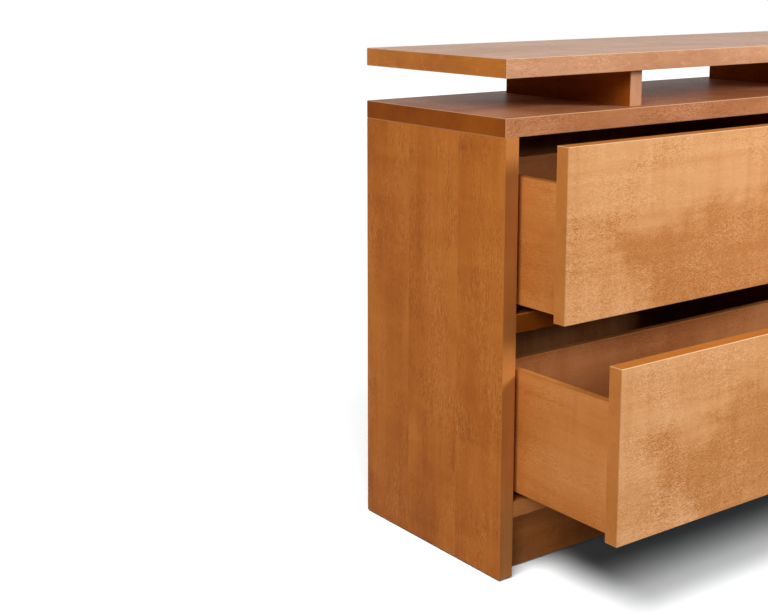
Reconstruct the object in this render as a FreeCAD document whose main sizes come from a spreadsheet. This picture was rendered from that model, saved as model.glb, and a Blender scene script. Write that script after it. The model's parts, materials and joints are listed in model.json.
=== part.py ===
import FreeCAD, Part
import Sketcher
import math
import os
import re

# A long, low sideboard of stained hardwood: a carcase with two columns of two inset
# drawers, and a second board that floats above the carcase top on three spacers.
#
# Frame: millimetres, X to the right, Y to the back, Z up. The origin is on the floor,
# under the middle of the carcase, and the drawer fronts face -Y.

# The driving dimensions, in millimetres. Each one is a cell of the document's sheet.
DIMENSIONS = {
    # Carcase and raised board
    "overall_length": 1830.0,
    "case_depth": 385.0,
    "side_thick": 30.0,
    "divider_thick": 30.0,
    "top_thick": 32.0,
    "rail_thick": 32.0,
    "rail_depth": 80.0,
    "bottom_thick": 28.0,
    "opening_height": 297.0,
    "board_thick": 32.0,
    "arris": 1.0,
    # Spacers under the raised board
    "spacer_height": 64.0,
    "spacer_thick": 30.0,
    "spacer_centre_inset": 322.0,
    "spacer_front_inset": 22.0,
    "spacer_back_inset": 36.0,
    "spacer_tenon_inset": 100.0,
    # Plinth
    "plinth_height": 106.0,
    "plinth_setback": 30.0,
    "plinth_thick": 20.0,
    # Back panels and the grooves that hold them
    "back_thick": 6.0,
    "back_inset": 12.0,
    "back_groove_depth": 8.0,
    "groove_play": 0.2,
    "groove_end_play": 0.5,
    # Loose tenons, which join the boards
    "tenon_thick": 8.0,
    "tenon_width": 40.0,
    "tenon_sink": 20.0,
    "tenon_play": 0.2,
    "tenon_inset": 60.0,
    # Floor glides
    "glide_height": 2.5,
    "glide_radius": 9.0,
    "glide_taper": 1.0,
    "glide_inset": 40.0,
    # Drawer fronts
    "front_thick": 26.5,
    "front_side_gap": 2.5,
    "front_gap_under": 3.0,
    "front_gap_over": 5.0,
    # How far the two left drawers stand open
    "pull_upper": 111.5,
    "pull_lower": 238.5,
    # Drawer boxes
    "box_back_gap": 58.0,
    "box_headroom": 66.5,
    "box_wall": 15.0,
    "box_wall_gap": 10.0,
    "box_rise": 11.0,
    "box_recess": 18.0,
    "box_bottom_thick": 9.0,
    "box_groove_depth": 7.0,
    # Undermount runners: folded sheet rails and carriages, and a bar between them
    "runner_gauge": 1.5,
    "channel_gap": 2.8,
    "channel_width": 22.0,
    "channel_height": 12.0,
    "channel_return": 5.0,
    "rail_floor_gap": 1.0,
    "rail_flange_height": 40.0,
    "rail_setback": 3.5,
    "rail_back_gap": 37.0,
    "slide_setback": 2.5,
    "slide_thick": 3.0,
    "slide_play": 0.6,
    "carriage_setback": 0.5,
    "roller_play": 0.3,
    "roller_width": 7.0,
    "roller_inset": 12.0,
    "roller_spacing": 100.0,
    # Clips that lock a drawer to its carriages
    "clip_gap": 1.0,
    "clip_width": 30.0,
    "clip_height": 10.0,
    "clip_depth": 20.0,
    "clip_lever_width": 10.0,
    "clip_lever_length": 18.0,
    # Cuts that leave a face run this far past it
    "overrun": 1.0,
}

# Levels and widths that several pieces share, as formulas of the sheet's cells.
BOTTOM_HIGH = "(glide_height + plinth_height + bottom_thick)"
TOP_LOW = f"({BOTTOM_HIGH} + 2 * opening_height + rail_thick)"
TOP_HIGH = f"({TOP_LOW} + top_thick)"
BOARD_LOW = f"({TOP_HIGH} + spacer_height)"
CASE_LEFT = "(-overall_length / 2)"
CASE_FRONT = "(-case_depth / 2)"
INNER_LENGTH = "(overall_length - 2 * side_thick)"
OPENING_WIDTH = "((overall_length - 2 * side_thick - divider_thick) / 2)"
OPENING_LEFT = {"left": "(side_thick - overall_length / 2)", "right": "(divider_thick / 2)"}
OPENING_LOW = {
    "lower": BOTTOM_HIGH,
    "upper": f"({BOTTOM_HIGH} + opening_height + rail_thick)",
}
BACK_GROOVE = "(case_depth - back_inset - back_thick)"
BACK_GROOVE_WIDTH = "(back_thick + groove_play)"
MORTISE_THICK = "(tenon_thick + 2 * tenon_play)"
MORTISE_WIDTH = "(tenon_width + 2 * tenon_play)"
MORTISE_DEPTH = "(tenon_sink + tenon_play)"
BOX_LOW = "(front_gap_under + box_rise)"
BOX_HEIGHT = f"(opening_height - {BOX_LOW} - box_headroom)"
BOX_LENGTH = f"({BACK_GROOVE} - box_back_gap - front_thick)"
CARRIAGE_TOP = f"({BOX_LOW} + box_recess)"
CHANNEL_LEFT = "(box_wall_gap + box_wall + channel_gap)"
CHANNEL_RIGHT = f"({CHANNEL_LEFT} + channel_width)"
RAIL_LENGTH = f"({BACK_GROOVE} - rail_back_gap - front_thick - rail_setback)"
SLIDE_LENGTH = f"({BOX_LENGTH} - box_wall - 2 * slide_setback)"
CARRIAGE_LENGTH = f"({BOX_LENGTH} - box_wall - 2 * carriage_setback)"
ROLLER_RADIUS = "(channel_height / 2 - runner_gauge - roller_play)"
BOX_INNER_WIDTH = f"({OPENING_WIDTH} - 2 * box_wall_gap - 2 * box_wall)"

# How far each drawer stands open, and its column and row.
DRAWERS = {
    "upper_left": ("left", "upper", "pull_upper"),
    "lower_left": ("left", "lower", "pull_lower"),
    "upper_right": ("right", "upper", "0"),
    "lower_right": ("right", "lower", "0"),
}

# Geometry closer than this counts as touching when edges are picked.
TOUCH = 1e-4
# A sketch's lines start on a unit shape, and its constraints then size them.
UNIT = 1.0

doc = FreeCAD.newDocument("sideboard")
sheet = doc.addObject("Spreadsheet::Sheet", "dims")
subparts = []
cuts = []


def fill_sheet():
    """Write the driving dimensions to the sheet, with their names as aliases."""
    for row, (name, size) in enumerate(DIMENSIONS.items(), start=1):
        sheet.set(f"A{row}", name)
        sheet.set(f"B{row}", str(size))
        sheet.setAlias(f"B{row}", name)
    doc.recompute()


def cells(formula):
    """Return a formula in which each word names its cell of the sheet."""
    return re.sub(r"[a-z_]{3,}", lambda word: "dims." + word.group(), formula)


def bind(item, name, formula):
    """Tie a property of an object to a formula of the sheet's cells."""
    item.setExpression(name, cells(formula))


def place(item, corner):
    """Tie the position of an object to three formulas."""
    for axis, formula in zip("xyz", corner):
        bind(item, f"Placement.Base.{axis}", formula)


def keep(item, label):
    """Name an object as a sub-part of the sideboard."""
    item.Label = label
    subparts.append(item)
    return item


def new_sketch(body, name, role, start="0"):
    """Put a sketch on one of the body's own planes, moved along its normal by start."""
    sketch = body.newObject("Sketcher::SketchObject", name)
    planes = body.Origin.OriginFeatures
    plane = next(feature for feature in planes if feature.Role == role)
    sketch.AttachmentSupport = [(plane, "")]
    sketch.MapMode = "FlatFace"
    if start != "0":
        bind(sketch, "AttachmentOffset.Base.z", start)
    return sketch


def set_distance(sketch, kind, points, formula):
    """Tie a horizontal or vertical distance between two points to a formula."""
    index = sketch.addConstraint(Sketcher.Constraint(kind, *points, UNIT))
    bind(sketch, f"Constraints[{index}]", formula)


def pin_point(sketch, geometry, point, where):
    """Tie a point's two coordinates to formulas. A coordinate of 0 lies on an axis."""
    for kind, axis, formula in (("DistanceX", -2, where[0]), ("DistanceY", -1, where[1])):
        if formula == "0":
            sketch.addConstraint(Sketcher.Constraint("PointOnObject", geometry, point, axis))
        else:
            set_distance(sketch, kind, (-1, 1, geometry, point), formula)


def draw_outline(sketch, corners):
    """Draw a closed outline of straight lines through corners given as formulas."""
    count = len(corners)
    turn = 2 * math.pi / count
    start = [FreeCAD.Vector(math.cos(turn * i), math.sin(turn * i), 0) for i in range(count)]
    lines = []
    for i in range(count):
        line = Part.LineSegment(start[i], start[(i + 1) % count])
        lines.append(sketch.addGeometry(line, False))
    for i in range(count):
        after = lines[(i + 1) % count]
        sketch.addConstraint(Sketcher.Constraint("Coincident", lines[i], 2, after, 1))
    for line, corner in zip(lines, corners):
        pin_point(sketch, line, 1, corner)


def draw_rectangle(sketch, low, size):
    """Draw a rectangle from its lowest corner and its size, all of them formulas."""
    (across, along), (width, height) = low, size
    far_across = width if across == "0" else f"({across} + {width})"
    far_along = height if along == "0" else f"({along} + {height})"
    corners = [(across, along), (far_across, along), (far_across, far_along), (across, far_along)]
    draw_outline(sketch, corners)


def free_edges(shape, joined):
    """Name the edges of a block that lie on none of its joined sides."""
    box = shape.BoundBox
    lows = {"x": box.XMin, "y": box.YMin, "z": box.ZMin}
    highs = {"x": box.XMax, "y": box.YMax, "z": box.ZMax}
    planes = []
    for side in joined:
        limit = lows if side[0] == "-" else highs
        planes.append((side[1], limit[side[1]]))
    names = []
    for number, edge in enumerate(shape.Edges, start=1):
        on_joint = False
        for axis, level in planes:
            levels = [getattr(vertex.Point, axis) for vertex in edge.Vertexes]
            if all(abs(at - level) < TOUCH for at in levels):
                on_joint = True
        if not on_joint:
            names.append(f"Edge{number}")
    return names


def make_panel(label, size, corner, joined=None):
    """Make a board as a body: size and corner are formulas.

    joined lists the sides that are glued to a neighbour and stay sharp, such as "-x".
    Without it the board has no eased arrises at all.
    """
    body = doc.addObject("PartDesign::Body", label)
    sketch = new_sketch(body, f"{label}_outline", "XY_Plane")
    draw_rectangle(sketch, ("0", "0"), size[:2])
    pad = body.newObject("PartDesign::Pad", f"{label}_board")
    pad.Profile = sketch
    bind(pad, "Length", size[2])
    if joined is not None:
        doc.recompute()
        chamfer = body.newObject("PartDesign::Chamfer", f"{label}_arris")
        chamfer.Base = (pad, free_edges(pad.Shape, joined))
        bind(chamfer, "Size", "arris")
    place(body, corner)
    return keep(body, label)


def pocket(body, name, sketch, depth):
    """Cut a sketch out of a body, upwards from the sketch."""
    cut = body.newObject("PartDesign::Pocket", name)
    cut.Profile = sketch
    cut.Reversed = True
    bind(cut, "Length", depth)
    cuts.append(cut)


def cut_groove(body, name, low, size):
    """Cut a straight groove, a box given by its lowest corner and its size."""
    sketch = new_sketch(body, f"{name}_outline", "XY_Plane", low[2])
    draw_rectangle(sketch, low[:2], size[:2])
    pocket(body, name, sketch, size[2])


def cut_mortises(body, name, axis, start, middles, depth):
    """Cut mortises that run along +axis from start.

    Their middles are (x, y) for axis z. For axis x they are (y, z), all at one level z.
    """
    if axis == "z":
        low = start
        height = depth
        size = (MORTISE_THICK, MORTISE_WIDTH)
        corners = [(f"({x} - {MORTISE_THICK} / 2)", f"({y} - {MORTISE_WIDTH} / 2)")
                   for x, y in middles]
    else:
        low = f"({middles[0][1]} - {MORTISE_THICK} / 2)"
        height = MORTISE_THICK
        size = (depth, MORTISE_WIDTH)
        corners = [(start, f"({y} - {MORTISE_WIDTH} / 2)") for y, _ in middles]
    sketch = new_sketch(body, f"{name}_outline", "XY_Plane", low)
    for corner in corners:
        draw_rectangle(sketch, corner, size)
    pocket(body, name, sketch, height)


def make_tenon(name, axis, start, length):
    """Make one loose tenon along x or z. start is the middle of its lower end."""
    sizes = {
        "x": (length, "tenon_width", "tenon_thick"),
        "z": ("tenon_thick", "tenon_width", length),
    }[axis]
    tenon = doc.addObject("Part::Box", name)
    corner = []
    for side, direction, middle, size in zip(("Length", "Width", "Height"), "xyz", start, sizes):
        bind(tenon, side, size)
        corner.append(middle if direction == axis else f"({middle} - {size} / 2)")
    place(tenon, corner)
    return tenon


def group(label, pieces):
    """Join like pieces in one node, each of them still a solid of its own."""
    compound = doc.addObject("Part::Compound", label)
    compound.Links = pieces
    return keep(compound, label)


# Places of the tenons along the depth of a board of full depth, and of a middle rail.
DEPTH_PLACES = ("tenon_inset", "(case_depth - tenon_inset)")
RAIL_PLACES = ("(rail_depth / 2)",)


def make_side(side):
    """Make one end panel, which runs from the floor glides to the carcase top."""
    height = f"({TOP_LOW} - glide_height)"
    left = CASE_LEFT if side == "left" else "(overall_length / 2 - side_thick)"
    size = ("side_thick", "case_depth", height)
    panel = make_panel(f"{side}_side_panel", size, (left, CASE_FRONT, "glide_height"), ())
    inner_low = "(side_thick - back_groove_depth)" if side == "left" else "0"
    groove_low = "(plinth_height + bottom_thick - back_groove_depth)"
    groove_width = "(back_groove_depth + overrun)" if side == "left" else "back_groove_depth"
    groove_size = (groove_width, BACK_GROOVE_WIDTH, f"({height} - {groove_low})")
    cut_groove(panel, f"{side}_side_groove", (inner_low, BACK_GROOVE, groove_low), groove_size)
    tops = [("(side_thick / 2)", at) for at in DEPTH_PLACES]
    cut_mortises(panel, f"{side}_side_top_mortises", "z", f"({height} - {MORTISE_DEPTH})",
                 tops, f"({MORTISE_DEPTH} + overrun)")
    start = f"(side_thick - {MORTISE_DEPTH})" if side == "left" else "0"
    depth = f"({MORTISE_DEPTH} + overrun)" if side == "left" else MORTISE_DEPTH
    bottom_level = "(plinth_height + bottom_thick / 2)"
    bottom_ends = [(at, bottom_level) for at in DEPTH_PLACES]
    cut_mortises(panel, f"{side}_side_bottom_mortises", "x", start, bottom_ends, depth)
    rail_level = "(plinth_height + bottom_thick + opening_height + rail_thick / 2)"
    rail_ends = [(at, rail_level) for at in RAIL_PLACES]
    cut_mortises(panel, f"{side}_side_rail_mortise", "x", start, rail_ends, depth)


def make_divider():
    """Make the upright between the two columns of drawers."""
    height = "(2 * opening_height + rail_thick)"
    size = ("divider_thick", "case_depth", height)
    corner = ("(-divider_thick / 2)", CASE_FRONT, BOTTOM_HIGH)
    divider = make_panel("centre_divider", size, corner, ("-z", "+z"))
    for side, low in (("left", "0"), ("right", "(divider_thick - back_groove_depth)")):
        cut_groove(divider, f"divider_{side}_groove", (low, BACK_GROOVE, "0"),
                   ("back_groove_depth", BACK_GROOVE_WIDTH, height))
    ends = [("(divider_thick / 2)", at) for at in DEPTH_PLACES]
    cut_mortises(divider, "divider_top_mortises", "z", f"({height} - {MORTISE_DEPTH})", ends,
                 f"({MORTISE_DEPTH} + overrun)")
    cut_mortises(divider, "divider_foot_mortises", "z", "0", ends, MORTISE_DEPTH)
    through = [(at, "(opening_height + rail_thick / 2)") for at in RAIL_PLACES]
    cut_mortises(divider, "divider_rail_mortise", "x", "0", through,
                 "(divider_thick + overrun)")


def make_case_top():
    """Make the carcase top, which lies over both end panels."""
    size = ("overall_length", "case_depth", "top_thick")
    top = make_panel("carcase_top", size, (CASE_LEFT, CASE_FRONT, TOP_LOW), ())
    groove_low = ("(side_thick - back_groove_depth)", BACK_GROOVE, "0")
    groove_size = (f"({INNER_LENGTH} + 2 * back_groove_depth)", BACK_GROOVE_WIDTH,
                   "back_groove_depth")
    cut_groove(top, "top_back_groove", groove_low, groove_size)
    uprights = ("(side_thick / 2)", "(overall_length / 2)", "(overall_length - side_thick / 2)")
    under = [(across, at) for across in uprights for at in DEPTH_PLACES]
    cut_mortises(top, "top_under_mortises", "z", "0", under, MORTISE_DEPTH)
    cut_mortises(top, "top_upper_mortises", "z", f"(top_thick - {MORTISE_DEPTH})",
                 spacer_places(), f"({MORTISE_DEPTH} + overrun)")


def spacer_places():
    """Give the places of the spacer tenons, from the front left corner of the carcase."""
    columns = ("spacer_centre_inset", "(overall_length / 2)",
               "(overall_length - spacer_centre_inset)")
    rows = ("(spacer_front_inset + spacer_tenon_inset)",
            "(case_depth - spacer_back_inset - spacer_tenon_inset)")
    return [(across, at) for across in columns for at in rows]


def make_case_bottom():
    """Make the carcase bottom, held between the end panels."""
    size = (INNER_LENGTH, "case_depth", "bottom_thick")
    corner = (OPENING_LEFT["left"], CASE_FRONT, f"({BOTTOM_HIGH} - bottom_thick)")
    bottom = make_panel("carcase_bottom", size, corner, ("-x", "+x"))
    cut_groove(bottom, "bottom_back_groove",
               ("0", BACK_GROOVE, "(bottom_thick - back_groove_depth)"),
               (INNER_LENGTH, BACK_GROOVE_WIDTH, "(back_groove_depth + overrun)"))
    ends = [(at, "(bottom_thick / 2)") for at in DEPTH_PLACES]
    cut_mortises(bottom, "bottom_left_mortises", "x", "0", ends, MORTISE_DEPTH)
    cut_mortises(bottom, "bottom_right_mortises", "x", f"({INNER_LENGTH} - {MORTISE_DEPTH})",
                 ends, f"({MORTISE_DEPTH} + overrun)")
    feet = [(f"({INNER_LENGTH} / 2)", at) for at in DEPTH_PLACES]
    cut_mortises(bottom, "bottom_divider_mortises", "z", f"(bottom_thick - {MORTISE_DEPTH})",
                 feet, f"({MORTISE_DEPTH} + overrun)")


def make_middle_rail(column):
    """Make the rail between the upper and the lower drawer of one column."""
    size = (OPENING_WIDTH, "rail_depth", "rail_thick")
    level = f"({BOTTOM_HIGH} + opening_height)"
    corner = (OPENING_LEFT[column], CASE_FRONT, level)
    rail = make_panel(f"middle_rail_{column}", size, corner, ("-x", "+x"))
    ends = [(at, "(rail_thick / 2)") for at in RAIL_PLACES]
    cut_mortises(rail, f"rail_{column}_left_mortise", "x", "0", ends, MORTISE_DEPTH)
    cut_mortises(rail, f"rail_{column}_right_mortise", "x",
                 f"({OPENING_WIDTH} - {MORTISE_DEPTH})", ends, f"({MORTISE_DEPTH} + overrun)")


def make_back_panel(column):
    """Make the thin back panel of one column, which stands in grooves all round."""
    reach = "(back_groove_depth - groove_end_play)"
    size = (f"({OPENING_WIDTH} + 2 * {reach})", "back_thick",
            f"(2 * opening_height + rail_thick + 2 * {reach})")
    corner = (f"({OPENING_LEFT[column]} - {reach})", f"({CASE_FRONT} + {BACK_GROOVE})",
              f"({BOTTOM_HIGH} - {reach})")
    make_panel(f"back_panel_{column}", size, corner)


def make_plinth():
    """Make the recessed plinth: front and rear boards, and a rail across the middle."""
    size = (INNER_LENGTH, "plinth_thick", "plinth_height")
    left = OPENING_LEFT["left"]
    joined = ("-x", "+x", "+z")
    front_corner = (left, f"({CASE_FRONT} + plinth_setback)", "glide_height")
    make_panel("plinth_front", size, front_corner, joined)
    rear_corner = (left, "(case_depth / 2 - plinth_setback - plinth_thick)", "glide_height")
    make_panel("plinth_rear", size, rear_corner, joined)
    length = "(case_depth - 2 * plinth_setback - 2 * plinth_thick)"
    cross_size = ("plinth_thick", length, "plinth_height")
    cross_corner = ("(-plinth_thick / 2)", f"(-{length} / 2)", "glide_height")
    make_panel("plinth_cross_rail", cross_size, cross_corner, ("-y", "+y", "+z"))


def make_raised_board():
    """Make the board that floats above the carcase top."""
    size = ("overall_length", "case_depth", "board_thick")
    board = make_panel("raised_top", size, (CASE_LEFT, CASE_FRONT, BOARD_LOW), ())
    cut_mortises(board, "board_under_mortises", "z", "0", spacer_places(), MORTISE_DEPTH)


def make_spacer(name, centre):
    """Make one spacer, a short panel on edge that runs from front to back."""
    depth = "(case_depth - spacer_front_inset - spacer_back_inset)"
    size = ("spacer_thick", depth, "spacer_height")
    corner = (f"({centre} - spacer_thick / 2)", f"({CASE_FRONT} + spacer_front_inset)", TOP_HIGH)
    spacer = make_panel(f"spacer_{name}", size, corner, ("-z", "+z"))
    middle = "(spacer_thick / 2)"
    ends = [(middle, "spacer_tenon_inset"), (middle, f"({depth} - spacer_tenon_inset)")]
    cut_mortises(spacer, f"spacer_{name}_foot_mortises", "z", "0", ends, MORTISE_DEPTH)
    cut_mortises(spacer, f"spacer_{name}_top_mortises", "z",
                 f"(spacer_height - {MORTISE_DEPTH})", ends,
                 f"({MORTISE_DEPTH} + overrun)")


def make_spacer_tenons():
    """Make the upright tenons at both ends of the three spacers."""
    tenons = []
    for number, (across, along) in enumerate(spacer_places(), start=1):
        for end, level in (("foot", TOP_HIGH), ("head", BOARD_LOW)):
            start = (f"({CASE_LEFT} + {across})", f"({CASE_FRONT} + {along})",
                     f"({level} - tenon_sink)")
            name = f"spacer_{end}_tenon_{number}"
            tenons.append(make_tenon(name, "z", start, "(2 * tenon_sink)"))
    group("spacer_tenons", tenons)


def make_carcase_tenons():
    """Make the tenons that hold the carcase together."""
    tenons = []

    def add(axis, start, length="(2 * tenon_sink)"):
        tenons.append(make_tenon(f"carcase_tenon_{len(tenons) + 1}", axis, start, length))

    left_end = f"({OPENING_LEFT['left']} - tenon_sink)"
    right_end = "(overall_length / 2 - side_thick - tenon_sink)"
    uprights = (f"({CASE_LEFT} + side_thick / 2)", "0", "(overall_length / 2 - side_thick / 2)")
    for at in DEPTH_PLACES:
        along = f"({CASE_FRONT} + {at})"
        for across in uprights:
            add("z", (across, along, f"({TOP_LOW} - tenon_sink)"))
        add("z", ("0", along, f"({BOTTOM_HIGH} - tenon_sink)"))
        for across in (left_end, right_end):
            add("x", (across, along, f"({BOTTOM_HIGH} - bottom_thick / 2)"))
    for at in RAIL_PLACES:
        along = f"({CASE_FRONT} + {at})"
        level = f"({BOTTOM_HIGH} + opening_height + rail_thick / 2)"
        for across in (left_end, right_end):
            add("x", (across, along, level))
        add("x", ("(-divider_thick / 2 - tenon_sink)", along, level),
            "(divider_thick + 2 * tenon_sink)")
    group("carcase_tenons", tenons)


def make_glide(name, across, along):
    """Make one floor glide, a low tapered foot."""
    foot = doc.addObject("Part::Cone", name)
    bind(foot, "Radius1", "(glide_radius - glide_taper)")
    bind(foot, "Radius2", "glide_radius")
    bind(foot, "Height", "glide_height")
    place(foot, (across, along, "0"))
    return foot


def make_glides():
    """Make the glides under the end panels and under the plinth's cross rail."""
    glides = [make_glide("centre_glide", "0", "0")]
    columns = (f"({CASE_LEFT} + side_thick / 2)", "(overall_length / 2 - side_thick / 2)")
    rows = (f"({CASE_FRONT} + glide_inset)", "(case_depth / 2 - glide_inset)")
    for column, across in zip(("left", "right"), columns):
        for row, along in zip(("front", "rear"), rows):
            glides.append(make_glide(f"{row}_{column}_glide", across, along))
    group("floor_glides", glides)


# The runners are modelled once, in the frame of a closed drawer's opening: X from the left
# wall, Y from the front of the carcase and Z from the floor of the opening.

def make_profile(name, corners, start, length):
    """Make a folded section across X and Z, as a body that runs along Y from start."""
    body = doc.addObject("PartDesign::Body", name)
    sketch = new_sketch(body, f"{name}_section", "XZ_Plane", f"(-{start})")
    draw_outline(sketch, corners)
    pad = body.newObject("PartDesign::Pad", f"{name}_length")
    pad.Profile = sketch
    pad.Reversed = True
    bind(pad, "Length", length)
    return body


def rail_section():
    """Give the section of the cabinet rail: a wall flange, a web and an open channel."""
    floor = "rail_floor_gap"
    left = CHANNEL_LEFT
    web = "(rail_floor_gap + runner_gauge)"
    lip = "(rail_floor_gap + channel_height)"
    lip_under = f"({lip} - runner_gauge)"
    right = CHANNEL_RIGHT
    return [
        ("0", floor),
        (right, floor),
        (right, lip),
        (f"({right} - channel_return)", lip),
        (f"({right} - channel_return)", lip_under),
        (f"({right} - runner_gauge)", lip_under),
        (f"({right} - runner_gauge)", web),
        (f"({left} + runner_gauge)", web),
        (f"({left} + runner_gauge)", lip_under),
        (f"({left} + channel_return)", lip_under),
        (f"({left} + channel_return)", lip),
        (left, lip),
        (left, web),
        ("runner_gauge", web),
        ("runner_gauge", "rail_flange_height"),
        ("0", "rail_flange_height"),
    ]


def carriage_section():
    """Give the section of the drawer's carriage: a channel that opens downwards."""
    top = CARRIAGE_TOP
    left = CHANNEL_LEFT
    web = f"({top} - runner_gauge)"
    lip = f"({top} - channel_height)"
    lip_over = f"({lip} + runner_gauge)"
    right = CHANNEL_RIGHT
    return [
        (left, top),
        (left, lip),
        (f"({left} + channel_return)", lip),
        (f"({left} + channel_return)", lip_over),
        (f"({left} + runner_gauge)", lip_over),
        (f"({left} + runner_gauge)", web),
        (f"({right} - runner_gauge)", web),
        (f"({right} - runner_gauge)", lip_over),
        (f"({right} - channel_return)", lip_over),
        (f"({right} - channel_return)", lip),
        (right, lip),
        (right, top),
    ]


def slide_section():
    """Give the section of the bar between the two channels, which carries the rollers."""
    middle = f"({CHANNEL_LEFT} + channel_width / 2)"
    low = "(rail_floor_gap + runner_gauge + slide_play)"
    high = f"({CARRIAGE_TOP} - runner_gauge - slide_play)"
    left = f"({middle} - slide_thick / 2)"
    right = f"({middle} + slide_thick / 2)"
    return [(left, low), (right, low), (right, high), (left, high)]


def make_roller(name, side, along, level):
    """Make one roller against the left or right face of the bar."""
    roller = doc.addObject("Part::Cylinder", name)
    bind(roller, "Radius", ROLLER_RADIUS)
    bind(roller, "Height", "roller_width")
    turn = FreeCAD.Rotation(FreeCAD.Vector(0, 1, 0), 90)
    roller.Placement = FreeCAD.Placement(FreeCAD.Vector(0, 0, 0), turn)
    middle = f"{CHANNEL_LEFT} + channel_width / 2"
    starts = {
        "left": f"({middle} - slide_thick / 2 - roller_width)",
        "right": f"({middle} + slide_thick / 2)",
    }
    place(roller, (starts[side], along, level))
    return roller


def mirror_pair(name, pieces):
    """Return pieces together with their mirror images at the opening's other wall."""
    pair = list(pieces)
    for piece in pieces:
        image = doc.addObject("Part::Mirroring", f"{piece.Name}_mirrored")
        image.Source = piece
        image.Normal = FreeCAD.Vector(1, 0, 0)
        bind(image, "Base.x", f"({OPENING_WIDTH} / 2)")
        pair.append(image)
    master = doc.addObject("Part::Compound", name)
    master.Links = pair
    return master


def make_rail_pair():
    """Make the two cabinet rails of a drawer."""
    start = "(front_thick + rail_setback)"
    rail = make_profile("cabinet_rail", rail_section(), start, RAIL_LENGTH)
    return mirror_pair("rail_pair", [rail])


def make_slide_pair():
    """Make the two sliding bars of a drawer, with their rollers."""
    start = "(front_thick + box_wall + slide_setback)"
    bar = make_profile("slide_bar", slide_section(), start, SLIDE_LENGTH)
    low = "(rail_floor_gap + channel_height / 2)"
    high = f"({CARRIAGE_TOP} - channel_height / 2)"
    places = {
        "upper_front": ("left", "roller_inset", high),
        "upper_rear": ("right", "(roller_inset + roller_spacing)", high),
        "lower_front": ("left", f"({SLIDE_LENGTH} - roller_inset - roller_spacing)", low),
        "lower_rear": ("right", f"({SLIDE_LENGTH} - roller_inset)", low),
    }
    pieces = [bar]
    for name, (side, along, level) in places.items():
        pieces.append(make_roller(f"{name}_roller", side, f"({start} + {along})", level))
    return mirror_pair("slide_pair", pieces)


def make_carriage_pair():
    """Make the two carriages that are fixed under a drawer."""
    start = "(front_thick + box_wall + carriage_setback)"
    carriage = make_profile("drawer_carriage", carriage_section(), start, CARRIAGE_LENGTH)
    return mirror_pair("carriage_pair", [carriage])


def make_clip_pair():
    """Make the two clips behind the box front, each with a release lever."""
    body = doc.addObject("PartDesign::Body", "locking_clip")
    sketch = new_sketch(body, "clip_outline", "XY_Plane")
    low = "(clip_width - clip_lever_width)"
    end = "(clip_depth + clip_lever_length)"
    corners = [("0", "0"), ("clip_width", "0"), ("clip_width", end), (low, end),
               (low, "clip_depth"), ("0", "clip_depth")]
    draw_outline(sketch, corners)
    pad = body.newObject("PartDesign::Pad", "clip_height_pad")
    pad.Profile = sketch
    bind(pad, "Length", "clip_height")
    place(body, (f"({CHANNEL_RIGHT} + clip_gap)", "(front_thick + box_wall)",
                 f"({CARRIAGE_TOP} - clip_height)"))
    return mirror_pair("clip_pair", [body])


def put(label, master, drawer, share):
    """Copy a pair of runner pieces to a drawer. share is how much of its travel they make."""
    column, row, pull = DRAWERS[drawer]
    moved = "0" if share == "0" else f"{share} * {pull}"
    copy = doc.addObject("Part::Compound", label)
    copy.Links = [master]
    place(copy, (OPENING_LEFT[column], f"({CASE_FRONT} - {moved})", OPENING_LOW[row]))
    return keep(copy, label)


def make_drawer(drawer):
    """Make the wooden pieces of one drawer."""
    column, row, pull = DRAWERS[drawer]
    left, low = OPENING_LEFT[column], OPENING_LOW[row]
    front = f"({CASE_FRONT} - {pull})"
    behind = f"({front} + front_thick)"
    front_size = (f"({OPENING_WIDTH} - 2 * front_side_gap)", "front_thick",
                  "(opening_height - front_gap_under - front_gap_over)")
    front_corner = (f"({left} + front_side_gap)", front, f"({low} + front_gap_under)")
    make_panel(f"drawer_front_{drawer}", front_size, front_corner, ())

    box_low = f"({low} + {BOX_LOW})"
    side_size = ("box_wall", BOX_LENGTH, BOX_HEIGHT)
    groove_height = "(box_bottom_thick + groove_play)"
    left_side = make_panel(f"box_left_side_{drawer}", side_size,
                           (f"({left} + box_wall_gap)", behind, box_low), ("-y",))
    cut_groove(left_side, f"left_groove_{drawer}",
               ("(box_wall - box_groove_depth)", "0", "box_recess"),
               ("(box_groove_depth + overrun)", BOX_LENGTH, groove_height))
    right_corner = (f"({left} + {OPENING_WIDTH} - box_wall_gap - box_wall)", behind, box_low)
    right_side = make_panel(f"box_right_side_{drawer}", side_size, right_corner, ("-y",))
    cut_groove(right_side, f"right_groove_{drawer}", ("0", "0", "box_recess"),
               ("box_groove_depth", BOX_LENGTH, groove_height))

    inner = f"({left} + box_wall_gap + box_wall)"
    box_front = make_panel(f"box_front_{drawer}", (BOX_INNER_WIDTH, "box_wall", BOX_HEIGHT),
                           (inner, behind, box_low), ("-x", "+x", "-y"))
    cut_groove(box_front, f"front_groove_{drawer}",
               ("0", "(box_wall - box_groove_depth)", "box_recess"),
               (BOX_INNER_WIDTH, "(box_groove_depth + overrun)", groove_height))

    lift = "(box_recess + box_bottom_thick)"
    back_size = (BOX_INNER_WIDTH, "box_wall", f"({BOX_HEIGHT} - {lift})")
    back_corner = (inner, f"({behind} + {BOX_LENGTH} - box_wall)", f"({box_low} + {lift})")
    make_panel(f"box_back_{drawer}", back_size, back_corner, ("-x", "+x", "-z"))

    reach = "(box_groove_depth - groove_end_play)"
    bottom_size = (f"({BOX_INNER_WIDTH} + 2 * {reach})",
                   f"({BOX_LENGTH} - box_wall + {reach})", "box_bottom_thick")
    bottom_corner = (f"({inner} - {reach})", f"({behind} + box_wall - {reach})",
                     f"({box_low} + box_recess)")
    make_panel(f"box_bottom_{drawer}", bottom_size, bottom_corner)


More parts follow.
